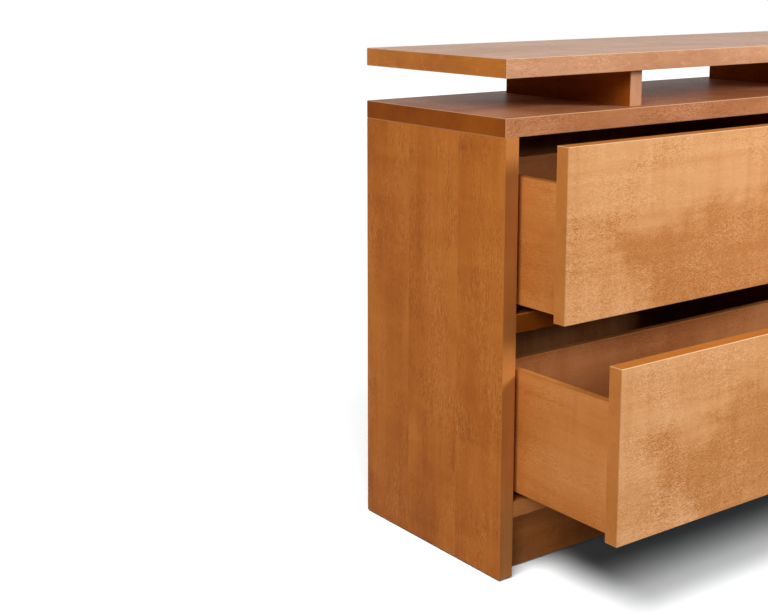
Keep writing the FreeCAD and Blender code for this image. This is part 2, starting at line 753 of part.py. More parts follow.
def check_document():
    """Stop if an object failed, or if a cut took nothing away."""
    for item in doc.Objects:
        if "Invalid" in item.State or "Error" in item.State:
            raise RuntimeError(f"{item.Label} is {item.State}")
    for cut in cuts:
        removed = cut.BaseFeature.Shape.Volume - cut.Shape.Volume
        if removed <= TOUCH:
            raise RuntimeError(f"{cut.Label} cuts nothing")
    for item in subparts:
        if item.Shape.isNull() or not item.Shape.isValid():
            raise RuntimeError(f"{item.Label} has no valid shape")


def write_steps():
    """Write each sub-part to its own file. A group is written as a flat set of solids."""
    os.makedirs("parts", exist_ok=True)
    for item in subparts:
        solids = item.Shape.Solids
        shape = solids[0] if len(solids) == 1 else Part.makeCompound(solids)
        shape.exportStep(f"parts/{item.Label}.step")
        print(item.Label, len(solids), round(shape.Volume))


fill_sheet()
make_side("left")
make_side("right")
make_divider()
make_case_top()
make_case_bottom()
for column in OPENING_LEFT:
    make_middle_rail(column)
    make_back_panel(column)
make_plinth()
make_raised_board()
make_spacer("left", f"({CASE_LEFT} + spacer_centre_inset)")
make_spacer("centre", "0")
make_spacer("right", "(overall_length / 2 - spacer_centre_inset)")
make_spacer_tenons()
make_carcase_tenons()
make_glides()
rail_pair = make_rail_pair()
slide_pair = make_slide_pair()
carriage_pair = make_carriage_pair()
clip_pair = make_clip_pair()
for drawer in DRAWERS:
    put(f"runner_rails_{drawer}", rail_pair, drawer, "0")
    put(f"runner_slides_{drawer}", slide_pair, drawer, "0.5")
    put(f"runner_carriages_{drawer}", carriage_pair, drawer, "1")
    put(f"locking_clips_{drawer}", clip_pair, drawer, "1")
    make_drawer(drawer)
doc.recompute()
check_document()
write_steps()
print("sub-parts", len(subparts))
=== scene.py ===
"""Looks, studio and camera of a stained maple sideboard with a raised top board.

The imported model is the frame: each wooden board, runner and glide in it keeps its shape and
place and gets its real finish here. The small fasteners are added as pieces of their own.
Everything is in metres, with the drawer fronts facing -Y and the floor at Z = 0.
"""
from __future__ import annotations

import json
import logging
import math
from dataclasses import dataclass, field
from enum import Enum
from typing import ClassVar

import bmesh
import bpy
from mathutils import Matrix, Vector

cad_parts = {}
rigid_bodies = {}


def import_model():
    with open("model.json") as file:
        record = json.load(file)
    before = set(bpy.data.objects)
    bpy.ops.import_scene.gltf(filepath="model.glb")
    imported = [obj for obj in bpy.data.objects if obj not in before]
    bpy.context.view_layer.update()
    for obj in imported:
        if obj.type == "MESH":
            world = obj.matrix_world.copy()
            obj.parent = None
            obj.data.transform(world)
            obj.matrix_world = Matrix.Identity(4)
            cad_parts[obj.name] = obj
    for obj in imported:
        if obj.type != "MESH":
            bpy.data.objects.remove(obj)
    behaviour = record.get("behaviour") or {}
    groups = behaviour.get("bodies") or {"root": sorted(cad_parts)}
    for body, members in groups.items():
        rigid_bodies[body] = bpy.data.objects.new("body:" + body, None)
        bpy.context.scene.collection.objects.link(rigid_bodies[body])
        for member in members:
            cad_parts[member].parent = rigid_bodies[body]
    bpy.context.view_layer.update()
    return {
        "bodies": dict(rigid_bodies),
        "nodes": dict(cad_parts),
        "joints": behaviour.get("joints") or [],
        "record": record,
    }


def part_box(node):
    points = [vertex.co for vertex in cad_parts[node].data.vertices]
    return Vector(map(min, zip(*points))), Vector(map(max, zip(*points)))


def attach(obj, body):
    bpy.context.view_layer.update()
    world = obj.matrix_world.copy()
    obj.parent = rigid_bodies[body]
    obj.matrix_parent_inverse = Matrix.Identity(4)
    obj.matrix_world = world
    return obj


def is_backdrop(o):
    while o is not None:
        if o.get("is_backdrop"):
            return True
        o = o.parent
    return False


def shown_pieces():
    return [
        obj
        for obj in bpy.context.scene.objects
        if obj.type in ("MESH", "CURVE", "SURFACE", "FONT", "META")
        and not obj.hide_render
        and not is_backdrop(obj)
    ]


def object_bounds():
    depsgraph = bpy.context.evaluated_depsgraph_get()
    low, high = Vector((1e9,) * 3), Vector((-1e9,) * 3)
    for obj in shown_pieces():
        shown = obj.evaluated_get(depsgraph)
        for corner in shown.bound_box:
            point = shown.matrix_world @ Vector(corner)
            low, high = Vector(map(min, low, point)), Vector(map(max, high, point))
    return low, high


LOG = logging.getLogger("sideboard")
MM = 0.001
PICTURE_WIDTH = 768
WHITE = "#FFFFFF"
# The drawers, with the height of each slab's heart line and of the corner that it leaves
# pale, as shares of the slab's height
DRAWERS = {"upper_left": (0.48, 0.40), "lower_left": (0.60, 0.35),
           "upper_right": (0.66, 0.15), "lower_right": (0.42, 0.25)}


class Axis(Enum):
    """A direction of the frame."""

    X = 0
    Y = 1
    Z = 2


class Way(Enum):
    """The way a screw's head faces."""

    LEFT = (-1.0, 0.0, 0.0)
    RIGHT = (1.0, 0.0, 0.0)
    BACK = (0.0, 1.0, 0.0)
    DOWN = (0.0, 0.0, -1.0)


def linear(colour: str) -> tuple[float, float, float, float]:
    """Turn an sRGB hex colour into a linear one.

    Args:
        colour: The colour, such as "#C98E55".

    Returns:
        Red, green, blue and an alpha of 1.
    """
    shares = [int(colour[start:start + 2], 16) / 255 for start in (1, 3, 5)]
    red, green, blue = (
        share / 12.92 if share <= 0.04045 else ((share + 0.055) / 1.055) ** 2.4
        for share in shares
    )
    return red, green, blue, 1.0


def add_node(tree: bpy.types.NodeTree, kind: str, links: dict | None = None,
             **settings: object) -> bpy.types.Node:
    """Add a shader node with its settings and its inputs.

    Args:
        tree: The node tree that gets the node.
        kind: The node's type, without its "ShaderNode" prefix.
        links: What goes into each input, by name or number: a socket or a plain value.
        **settings: The node's own properties.

    Returns:
        The new node.
    """
    node = tree.nodes.new(f"ShaderNode{kind}")
    for name, value in settings.items():
        setattr(node, name, value)
    for name, value in (links or {}).items():
        if isinstance(value, bpy.types.NodeSocket):
            tree.links.new(value, node.inputs[name])
        else:
            node.inputs[name].default_value = value
    return node


def new_tree(name: str) -> tuple[bpy.types.Material, bpy.types.NodeTree, bpy.types.Node]:
    """Start a material.

    Args:
        name: The material's name.

    Returns:
        The material, its empty node tree and the tree's output node.
    """
    material = bpy.data.materials.new(name)
    material.use_nodes = True
    tree = material.node_tree
    tree.nodes.clear()
    return material, tree, tree.nodes.new("ShaderNodeOutputMaterial")


def new_piece(name: str, mesh: bmesh.types.BMesh) -> bpy.types.Object:
    """Put a mesh in the scene as an object of its own.

    Args:
        name: The object's name.
        mesh: The mesh, which is freed.

    Returns:
        The object.
    """
    data = bpy.data.meshes.new(name)
    mesh.to_mesh(data)
    mesh.free()
    piece = bpy.data.objects.new(name, data)
    bpy.context.scene.collection.objects.link(piece)
    return piece


def dress(piece: bpy.types.Object, material: bpy.types.Material) -> None:
    """Give a piece its one finish.

    Args:
        piece: The piece.
        material: The finish.
    """
    if piece.material_slots:
        piece.material_slots[0].material = material
    else:
        piece.data.materials.append(material)


@dataclass(frozen=True)
class StainedMaple:
    """Hard maple, sanded, wiped with a honey stain and sprayed with satin lacquer.

    Maple has almost no open pores, so stain lies on it in soft clouds. Where the fibres
    crinkle they drink it unevenly, which gives fine pale wavy lines that come and go, and
    soft bands across the grain. End grain drinks more and turns orange. The lacquer gives
    a broad soft sheen with no sharp reflections.
    """

    name: str
    grain: Axis
    deep: str = "#8C4A1C"
    middle: str = "#B87338"
    pale: str = "#DDA066"
    end_deep: str = "#A2561A"
    end_pale: str = "#D38636"
    seed: int = 0
    # Sizes in millimetres, along the grain and across it
    cloud: tuple[float, float] = (420.0, 120.0)
    streak: tuple[float, float] = (520.0, 16.0)
    curl: tuple[float, float] = (46.0, 260.0)
    crinkle: tuple[float, float] = (12.0, 3.0)
    patch: tuple[float, float] = (190.0, 90.0)
    ray: tuple[float, float] = (26.0, 1.3)
    growth: tuple[float, ...] = (210.0, 62.0)
    # The width of each glued stave, and the place of one glue line across the grain
    stave: float = 0.0
    glue_line: float = 0.0
    cloud_depth: float = 1.2
    streak_depth: float = 0.35
    curl_depth: float = 0.35
    crinkle_depth: float = 0.34
    # How much of the crinkle the second pair of tones keeps
    end_crinkle: float = 0.1
    stave_depth: float = 0.035
    ring_depth: float = 0.03
    ring_count: float = 9.0
    gloss: float = 0.07
    sheen: float = 0.02
    # Where the stain is almost sanded through, made paler still as a painted highlight
    wear_and_highlight_tone: str = "#B87636"
    # How much of that the upright arrises show, less than the level ones, as the painted
    # highlight stands for light from above
    wear_and_highlight_upright: float = 0.8
    # The faces with the second pair of tones, where these aren't only the end grain; on the
    # drawer slabs the top is one, which they darken as painted shade
    edged: tuple[Axis, ...] = ()
    # A darker, more crinkled part between two lines: the upper line's height at X = 0, its
    # climb to the right, the same for the lower line, and the height over which they fade
    heart: tuple[float, float, float, float, float] = (0.0, 0.0, 0.0, 0.0, 1.0)
    heart_depth: float = 0.0

    # The middle of a noise from 0 to 1, and how much of each octave the next one keeps
    MIDDLE: ClassVar[float] = 0.5
    KEPT: ClassVar[float] = 0.55
    # The octaves of each layer, and how much its patches are bent
    CLOUD_NOISE: ClassVar[tuple[float, float]] = (3.0, 0.4)
    STREAK_NOISE: ClassVar[tuple[float, float]] = (4.0, 0.0)
    CURL_NOISE: ClassVar[tuple[float, float]] = (2.0, 0.6)
    CRINKLE_NOISE: ClassVar[tuple[float, float]] = (1.6, 1.4)
    PATCH_NOISE: ClassVar[tuple[float, float]] = (2.5, 0.6)
    RAY_NOISE: ClassVar[tuple[float, float]] = (1.0, 0.0)
    RING_NOISE: ClassVar[tuple[float, float]] = (0.6, 0.2)
    # How far the figure moves from one seed to the next, and where it starts again, then
    # how far it moves from stave to stave, all in metres
    SEED_MOVES: ClassVar[tuple[tuple[float, int], ...]] = ((1.37, 9), (2.71, 7), (0.83, 5))
    STAVE_MOVE: ClassVar[tuple[float, float, float]] = (3.0, 0.0, 0.6)
    # How many staves lie between the boards of two seeds
    SEED_STAVES: ClassVar[int] = 10
    # The largest part of the normal, from an arris to a face, and the upward part of an
    # arris's normal, from an upright arris to a level one, over which the painted highlight
    # on the arrises grows
    FACE: ClassVar[tuple[float, float]] = (0.75, 0.95)
    LEVEL: ClassVar[tuple[float, float]] = (0.1, 0.4)
    # The heart lines' waves to the metre, their octaves, what these keep, and their lift
    HEART_WAVES: ClassVar[tuple[float, float, float]] = (6.0, 5.0, 9.0)
    HEART_OCTAVES: ClassVar[float] = 4.0
    HEART_KEPT: ClassVar[float] = 0.6
    HEART_LIFT: ClassVar[float] = 0.24
    # The first ring's place, and a ring's width as a share of their spacing
    RING_START: ClassVar[float] = 7.3
    RING_WIDTH: ClassVar[float] = 0.16
    # A crinkle line's half width in its noise, and its levels beside it and on it
    CRINKLE_HALF: ClassVar[float] = 0.10
    CRINKLE_LEVELS: ClassVar[tuple[float, float]] = (-0.4, 0.6)
    # The patch noise over which crinkles grow, their strengths, and what a heart adds
    PATCH_RANGE: ClassVar[tuple[float, float]] = (-0.08, 0.18)
    PATCH_STRENGTH: ClassVar[tuple[float, float]] = (0.22, 1.2)
    HEART_STRENGTH: ClassVar[float] = 0.45
    # The ray noise over which a dark tick grows, and the tick's depth
    RAY_RANGE: ClassVar[tuple[float, float]] = (0.24, 0.34)
    RAY_DEPTH: ClassVar[float] = -0.10
    # The depths of stain that give the deep and the pale tone
    TONE_ENDS: ClassVar[tuple[float, float]] = (0.15, 0.85)
    # The crinkle levels between which the lacquer's roughness changes, and its roughness
    GLOSS_LEVELS: ClassVar[tuple[float, float]] = (-0.3, 0.4)
    ROUGHNESS: ClassVar[tuple[float, float]] = (0.44, 0.36)
    COAT_ROUGHNESS: ClassVar[float] = 0.28
    BUMP: ClassVar[float] = 0.10
    RELIEF: ClassVar[float] = 0.3 * MM

    def turned(self, tree: bpy.types.NodeTree) -> bpy.types.NodeSocket:
        """Give object coordinates turned so that the grain runs along their X.

        Args:
            tree: The material's node tree.

        Returns:
            The turned coordinates, in metres.
        """
        turns = {
            Axis.X: (0.0, 0.0, 0.0),
            Axis.Y: (0.0, 0.0, -math.pi / 2),
            Axis.Z: (0.0, math.pi / 2, 0.0),
        }
        where = add_node(tree, "TexCoord").outputs["Object"]
        return add_node(tree, "Mapping", {"Vector": where, "Rotation": turns[self.grain]}
                        ).outputs["Vector"]

    def layer(self, tree: bpy.types.NodeTree, where: bpy.types.NodeSocket,
              size: tuple[float, ...], octaves: float, waver: float
              ) -> bpy.types.NodeSocket:
        """Give noise drawn out along the grain, centred on zero.

        Args:
            tree: The material's node tree.
            where: Coordinates with the grain along X.
            size: The size of one patch in millimetres: along the grain, across it and,
                where that is another one, through the board.
            octaves: Octaves of finer noise in it.
            waver: How much the patches are bent.

        Returns:
            The noise, from about -0.5 to 0.5.
        """
        often = tuple(1 / (width * MM) for width in (size[0], size[1], size[-1]))
        drawn = add_node(tree, "VectorMath", {0: where, 1: often}, operation="MULTIPLY")
        noise = add_node(tree, "TexNoise", {"Vector": drawn.outputs[0], "Scale": 1.0,
                                            "Detail": octaves, "Roughness": self.KEPT,
                                            "Distortion": waver})
        level = add_node(tree, "Math", {0: noise.outputs["Fac"], 1: self.MIDDLE},
                         operation="SUBTRACT")
        return level.outputs[0]

    def staves(self, tree: bpy.types.NodeTree, where: bpy.types.NodeSocket
               ) -> tuple[bpy.types.NodeSocket, bpy.types.NodeSocket]:
        """Cut the figure at each glued stave, and give each stave a tone of its own.

        Args:
            tree: The material's node tree.
            where: Coordinates with the grain along X.

        Returns:
            The coordinates, moved from stave to stave, and the stave's tone about zero.
        """
        parts = add_node(tree, "SeparateXYZ", {0: where})
        start = self.seed * self.SEED_STAVES - self.glue_line / self.stave
        across = add_node(tree, "Math", {0: parts.outputs["Y"], 1: 1 / (self.stave * MM),
                                         2: start}, operation="MULTIPLY_ADD")
        count = add_node(tree, "Math", {0: across.outputs[0]}, operation="FLOOR")
        chance = add_node(tree, "TexWhiteNoise", {"W": count.outputs[0]},
                          noise_dimensions="1D")
        step = add_node(tree, "VectorMath", {0: chance.outputs["Color"], 1: self.STAVE_MOVE},
                        operation="MULTIPLY")
        moved = add_node(tree, "VectorMath", {0: where, 1: step.outputs[0]})
        tone = add_node(tree, "Math", {0: chance.outputs["Value"], 1: self.MIDDLE},
                        operation="SUBTRACT")
        return moved.outputs[0], tone.outputs[0]

    def faces(self, tree: bpy.types.NodeTree
              ) -> tuple[bpy.types.NodeSocket, bpy.types.NodeSocket]:
        """Tell end grain and eased arrises from the faces by the surface's direction.

        Args:
            tree: The material's node tree.

        Returns:
            How much of an end face the surface is, and how much of an arris, more on level
            arrises, whose paler tone is wear and a painted highlight.
        """
        normal = add_node(tree, "TexCoord").outputs["Normal"]
        size = add_node(tree, "VectorMath", {0: normal}, operation="ABSOLUTE")
        parts = add_node(tree, "SeparateXYZ", {0: size.outputs[0]})
        edges = [parts.outputs[axis.value] for axis in self.edged or (self.grain,)]
        facing = edges[0]
        for edge in edges[1:]:
            facing = add_node(tree, "Math", {0: facing, 1: edge},
                              operation="MAXIMUM").outputs[0]
        end = add_node(tree, "MapRange", {"Value": facing, "From Min": self.FACE[0],
                                          "From Max": self.FACE[1]})
        high = add_node(tree, "Math", {0: parts.outputs[0], 1: parts.outputs[1]},
                        operation="MAXIMUM")
        highest = add_node(tree, "Math", {0: high.outputs[0], 1: parts.outputs[2]},
                           operation="MAXIMUM")
        arris = add_node(tree, "MapRange", {"Value": highest.outputs[0],
                                            "From Min": self.FACE[1],
                                            "From Max": self.FACE[0]})
        level = add_node(tree, "MapRange", {"Value": parts.outputs[2],
                                            "From Min": self.LEVEL[0],
                                            "From Max": self.LEVEL[1],
                                            "To Min": self.wear_and_highlight_upright})
        wear_and_highlight = add_node(tree, "Math", {0: arris.outputs[0], 1: level.outputs[0]},
                          operation="MULTIPLY")
        return end.outputs[0], wear_and_highlight.outputs[0]

    def heartwood(self, tree: bpy.types.NodeTree
                  ) -> tuple[bpy.types.NodeSocket, bpy.types.NodeSocket]:
        """Give the darker part of a slab, between two lines that waver.

        Args:
            tree: The material's node tree.

        Returns:
            The part, from 0 outside the lines to 1 well between them, and all that lies
            below the upper line.
        """
        over, over_climb, under, under_climb, fade = self.heart
        where = add_node(tree, "TexCoord").outputs["Object"]
        drawn = add_node(tree, "VectorMath", {0: where, 1: self.HEART_WAVES},
                         operation="MULTIPLY")
        waver = add_node(tree, "TexNoise", {"Vector": drawn.outputs[0], "Scale": 1.0,
                                            "Detail": self.HEART_OCTAVES,
                                            "Roughness": self.HEART_KEPT})
        parts = add_node(tree, "SeparateXYZ", {0: where})
        lifted = add_node(tree, "Math", {0: waver.outputs["Fac"], 1: self.HEART_LIFT,
                                         2: parts.outputs["Z"]}, operation="MULTIPLY_ADD")
        # The noise lifts a height by half its reach on average
        mean_lift = self.HEART_LIFT / 2
        sides = []
        for level, climb, way in ((over, over_climb, -1), (under, under_climb, 1)):
            height = add_node(tree, "Math", {0: parts.outputs["X"], 1: -climb,
                                             2: lifted.outputs[0]}, operation="MULTIPLY_ADD")
            line = level + mean_lift
            side = add_node(tree, "MapRange", {"Value": height.outputs[0],
                                               "From Min": line - way * fade / 2,
                                               "From Max": line + way * fade / 2},
                            interpolation_type="SMOOTHSTEP")
            sides.append(side.outputs[0])
        part = add_node(tree, "Math", {0: sides[0], 1: sides[1]}, operation="MULTIPLY")
        return part.outputs[0], sides[0]

    def rings(self, tree: bpy.types.NodeTree, where: bpy.types.NodeSocket
              ) -> bpy.types.NodeSocket:
        """Give the thin pale arcs of growth rings, as level lines of a slow swell.

        Args:
            tree: The material's node tree.
            where: Coordinates with the grain along X.

        Returns:
            The arcs, from 0 between them to 1 on them.
        """
        swell = self.layer(tree, where, self.growth, *self.RING_NOISE)
        steps = add_node(tree, "Math", {0: swell, 1: self.ring_count, 2: self.RING_START},
                         operation="MULTIPLY_ADD")
        saw = add_node(tree, "Math", {0: steps.outputs[0]}, operation="FRACT")
        line = add_node(tree, "MapRange", {"Value": saw.outputs[0],
                                           "From Min": self.RING_WIDTH, "From Max": 0.0})
        return line.outputs[0]

    def crinkles(self, tree: bpy.types.NodeTree, where: bpy.types.NodeSocket,
                 below: bpy.types.NodeSocket | float) -> bpy.types.NodeSocket:
        """Give the fine pale wavy lines, which come and go over a hand's breadth.

        Args:
            tree: The material's node tree.
            where: Coordinates with the grain along X.
            below: The part of the board in which the lines are strongest.

        Returns:
            The lines, centred on zero.
        """
        fine = self.layer(tree, where, self.crinkle, *self.CRINKLE_NOISE)
        off = add_node(tree, "Math", {0: fine}, operation="ABSOLUTE")
        line = add_node(tree, "MapRange", {"Value": off.outputs[0],
                                           "From Min": self.CRINKLE_HALF, "From Max": 0.0,
                                           "To Min": self.CRINKLE_LEVELS[0],
                                           "To Max": self.CRINKLE_LEVELS[1]})
        patch = self.layer(tree, where, self.patch, *self.PATCH_NOISE)
        strong = add_node(tree, "MapRange", {"Value": patch, "From Min": self.PATCH_RANGE[0],
                                             "From Max": self.PATCH_RANGE[1],
                                             "To Min": self.PATCH_STRENGTH[0],
                                             "To Max": self.PATCH_STRENGTH[1]})
        more = add_node(tree, "Math", {0: below, 1: self.HEART_STRENGTH,
                                       2: strong.outputs[0]}, operation="MULTIPLY_ADD")
        return add_node(tree, "Math", {0: line.outputs[0], 1: more.outputs[0]},
                        operation="MULTIPLY").outputs[0]

    def tones(self, tree: bpy.types.NodeTree, depth: bpy.types.NodeSocket,
              end: bpy.types.NodeSocket) -> bpy.types.NodeSocket:
        """Turn the depth of the stain into colour, on faces and on end grain.

        Args:
            tree: The material's node tree.
            depth: The depth of the stain, from 0 for deep to 1 for pale.
            end: How much of an end face the surface is.

        Returns:
            The colour.
        """
        ramps = []
        for pair in ((self.deep, self.pale), (self.end_deep, self.end_pale)):
            ramps.append(add_node(tree, "ValToRGB", {"Fac": depth}))
            stops = ramps[-1].color_ramp.elements
            for stop, place, tone in zip(stops, self.TONE_ENDS, pair):
                stop.position, stop.color = place, linear(tone)
        face, drunk = ramps
        face.color_ramp.interpolation = "B_SPLINE"
        face.color_ramp.elements.new(self.MIDDLE).color = linear(self.middle)
        mixed = add_node(tree, "MixRGB", {0: end, 1: face.outputs[0], 2: drunk.outputs[0]})
        return mixed.outputs[0]

    def material(self) -> bpy.types.Material:
        """Build the finish.

        Returns:
            The material.
        """
        material, tree, output = new_tree(self.name)
        where = self.turned(tree)
        # What changes the depth of the stain, each with its share
        stain: list[tuple[bpy.types.NodeSocket, float]] = []
        if self.stave:
            where, tone = self.staves(tree, where)
            stain.append((tone, self.stave_depth * 2))
        shift = tuple(self.seed * move % again for move, again in self.SEED_MOVES)
        where = add_node(tree, "VectorMath", {0: where, 1: shift}).outputs[0]
        below: bpy.types.NodeSocket | float = 0.0
        if self.heart_depth:
            heart, below = self.heartwood(tree)
            stain.append((heart, -self.heart_depth))
        end, arris = self.faces(tree)
        # End grain shows next to no crinkle
        long = add_node(tree, "MapRange", {"Value": end, "To Min": 1.0,
                                           "To Max": self.end_crinkle})
        lines = add_node(tree, "Math", {0: self.crinkles(tree, where, below),
                                        1: long.outputs[0]}, operation="MULTIPLY").outputs[0]
        for size, noise, share in ((self.cloud, self.CLOUD_NOISE, self.cloud_depth),
                                   (self.streak, self.STREAK_NOISE, self.streak_depth),
                                   (self.curl, self.CURL_NOISE, self.curl_depth)):
            stain.append((self.layer(tree, where, size, *noise), share))
        # Rays and pin knots: short thin dark lines, few of them
        tick = add_node(tree, "MapRange", {
            "Value": self.layer(tree, where, self.ray, *self.RAY_NOISE),
            "From Min": self.RAY_RANGE[0], "From Max": self.RAY_RANGE[1]})
        stain += [(lines, self.crinkle_depth), (tick.outputs[0], self.RAY_DEPTH),
                  (self.rings(tree, where), self.ring_depth)]
        depth: bpy.types.NodeSocket | float = self.MIDDLE
        for level, share in stain:
            depth = add_node(tree, "Math", {0: level, 1: share, 2: depth},
                             operation="MULTIPLY_ADD").outputs[0]
        gloss = add_node(tree, "MapRange", {
            "Value": lines,
            "From Min": self.GLOSS_LEVELS[0], "From Max": self.GLOSS_LEVELS[1],
            "To Min": self.ROUGHNESS[0], "To Max": self.ROUGHNESS[1]})
        grain = add_node(tree, "Bump", {"Height": lines, "Strength": self.BUMP,
                                        "Distance": self.RELIEF})
        # The sander thins the stain on the arrises; their paler tone is also a painted
        # highlight, stronger on level arrises, where light falls from above
        wear_and_highlight = add_node(tree, "MixRGB", {0: arris, 1: self.tones(tree, depth, end),
                                           2: linear(self.wear_and_highlight_tone)})
        surface = add_node(tree, "BsdfPrincipled", {
            "Base Color": wear_and_highlight.outputs[0], "Roughness": gloss.outputs[0],
            "Normal": grain.outputs[0], "Specular IOR Level": self.gloss,
            "Coat Weight": self.sheen, "Coat Roughness": self.COAT_ROUGHNESS})
        tree.links.new(surface.outputs[0], output.inputs["Surface"])
        return material


@dataclass(frozen=True)
class SmallPartFinish:
    """Two close tones in soft patches, with a fine relief over them."""

    name: str
    deep: str
    pale: str
    # Sizes in millimetres, and how often the relief repeats along X, Y and Z as a share of
    # what its size gives
    patch_mm: float
    relief_mm: float
    often: tuple[float, float, float]
    metallic: float
    roughness: tuple[float, float]
    bump: float

    # The octaves of the patches and of the relief, and the relief's height
    OCTAVES: ClassVar[tuple[float, float]] = (3.0, 1.0)
    RELIEF: ClassVar[float] = 0.2 * MM

    def material(self) -> bpy.types.Material:
        """Build the finish.

        Returns:
            The material.
        """
        material, tree, output = new_tree(self.name)
        where = add_node(tree, "TexCoord").outputs["Object"]
        drawn = add_node(tree, "VectorMath", {0: where, 1: self.often}, operation="MULTIPLY")
        patches, relief = (
            add_node(tree, "TexNoise", {"Vector": place, "Detail": octaves,
                                        "Scale": 1 / (size * MM)}).outputs["Fac"]
            for place, size, octaves in zip((where, drawn.outputs[0]),
                                            (self.patch_mm, self.relief_mm), self.OCTAVES))
        colour = add_node(tree, "ValToRGB", {"Fac": patches})
        for stop, tone in zip(colour.color_ramp.elements, (self.deep, self.pale)):
            stop.color = linear(tone)
        rough = add_node(tree, "MapRange", {"Value": patches, "To Min": self.roughness[0],
                                            "To Max": self.roughness[1]})
        bump = add_node(tree, "Bump", {"Height": relief, "Strength": self.bump,
                                       "Distance": self.RELIEF})
        surface = add_node(tree, "BsdfPrincipled", {
            "Base Color": colour.outputs["Color"], "Metallic": self.metallic,
            "Roughness": rough.outputs[0], "Normal": bump.outputs[0]})
        tree.links.new(surface.outputs[0], output.inputs["Surface"])
        return material


@dataclass(frozen=True)
class ZincPlatedSteel(SmallPartFinish):
    """Cold-rolled steel strip, folded, zinc plated and black passivated.

    It is a dark metal with a faint mottle of zinc, a few millimetres across, and with
    fine rolling lines along the strip.
    """

    name: str = "zinc_plated_steel"
    deep: str = "#3A3D41"
    pale: str = "#4E5257"
    patch_mm: float = 4.0
    relief_mm: float = 0.6
    often: tuple[float, float, float] = (1.0, 0.02, 1.0)
    metallic: float = 1.0
    roughness: tuple[float, float] = (0.28, 0.5)
    bump: float = 0.15


@dataclass(frozen=True)
class MouldedNylon(SmallPartFinish):
    """Nylon or polythene, injection moulded in a spark-eroded mould.

    It is matt and even, with a texture of a quarter of a millimetre and a little wear.
    """

    patch_mm: float = 5.0
    relief_mm: float = 0.25
    often: tuple[float, float, float] = (1.0, 1.0, 1.0)
    metallic: float = 0.0
    roughness: tuple[float, float] = (0.42, 0.62)
    bump: float = 0.2


@dataclass(frozen=True)
class Board:
    """One CAD board, with the run of its grain and what its stain has of its own."""

    node: str
    grain: Axis
    changes: dict = field(default_factory=dict)


# The tones on each kind of board, mostly the stain's, with painted shade or sheen where
# noted, and how much its lacquer shines there
CASE_TONES = {"deep": "#9E5218", "middle": "#BE6920", "pale": "#CF8138",
              "end_deep": "#A45E29", "end_pale": "#C88244"}
# The box backs are darker and duller than the box sides: partly their own tone, partly
# painted shade inside the drawer
BOX_BACK_SHADED_TONES = {"deep": "#824A28", "middle": "#A06238", "pale": "#B47C4E",
              "end_deep": "#8E4A18", "end_pale": "#B87430"}
# The raised top's tones are paler, pinker and greyer than its stain alone: a painted sheen of
# the lacquer seen at a low angle
TOP_STAIN_AND_SHEEN_TONES = {"deep": "#A9724D", "middle": "#C18A64", "pale": "#D6A682",
             "end_deep": "#A15615", "end_pale": "#CD7C2A", "gloss": 0.14, "sheen": 0.05,
             "wear_and_highlight_tone": "#E0B48C"}
LOWER_TOP_TONES = {"deep": "#9A6039", "middle": "#B3744C", "pale": "#CB926C",
                   "end_deep": "#803D10", "end_pale": "#A45717", "wear_and_highlight_tone": "#D0A07A",
                   "gloss": 0.03, "sheen": 0.0}
# The spacers' faces take deep tones as painted shade in the narrow gap under the raised top;
# their front ends keep paler tones
SPACER_SHADED_TONES = {"deep": "#7A3608", "middle": "#98490E", "pale": "#AE6224",
                "end_deep": "#AA7250", "end_pale": "#CE9A78", "gloss": 0.01,
                "sheen": 0.0}
# On the slabs the left end and the top take the second pair of tones: end grain on the end,
# painted shade on the top; the top arris takes far more of the painted highlight than the
# upright ones
FRONT_TONES = {"deep": "#AE6D32", "middle": "#D2945B", "pale": "#E3AF81",
               "end_deep": "#AD6221", "end_pale": "#D6883E", "gloss": 0.12,
               "sheen": 0.05, "wear_and_highlight_tone": "#E8BC90", "wear_and_highlight_upright": 0.15,
               "edged": (Axis.X, Axis.Z)}
BOX_TONES = {"deep": "#B0662A", "middle": "#CF7D38", "pale": "#DE9554",
             "end_deep": "#B0601A", "end_pale": "#DC8C3A"}
BASE_TONES = {"deep": "#945224", "middle": "#B26C33", "pale": "#C6844A",
              "end_deep": "#8E4310", "end_pale": "#C87626"}
BOTTOM_TONES = {"deep": "#A65F2C", "middle": "#C67A3E", "pale": "#D89656",
                "end_deep": "#8E4310", "end_pale": "#C87626"}
# The middle rails are darker than the case: painted shade from the drawer slabs above them
RAIL_SHADED_TONES = {"deep": "#7A3C0C", "middle": "#8E480F", "pale": "#A25A1C"}
# Upright panels: faint staves, flecks in patches and a paler lipping along the front edge
PANEL_FIGURE = {"edged": (Axis.Y,), "stave_depth": 0.012, "crinkle": (18.0, 2.4),
                "crinkle_depth": 0.6, "patch": (150.0, 60.0)}
PLY_TONES = {"deep": "#8C5229", "middle": "#A9693D", "pale": "#BE8354",
             "end_deep": "#7A4420", "end_pale": "#B07848"}


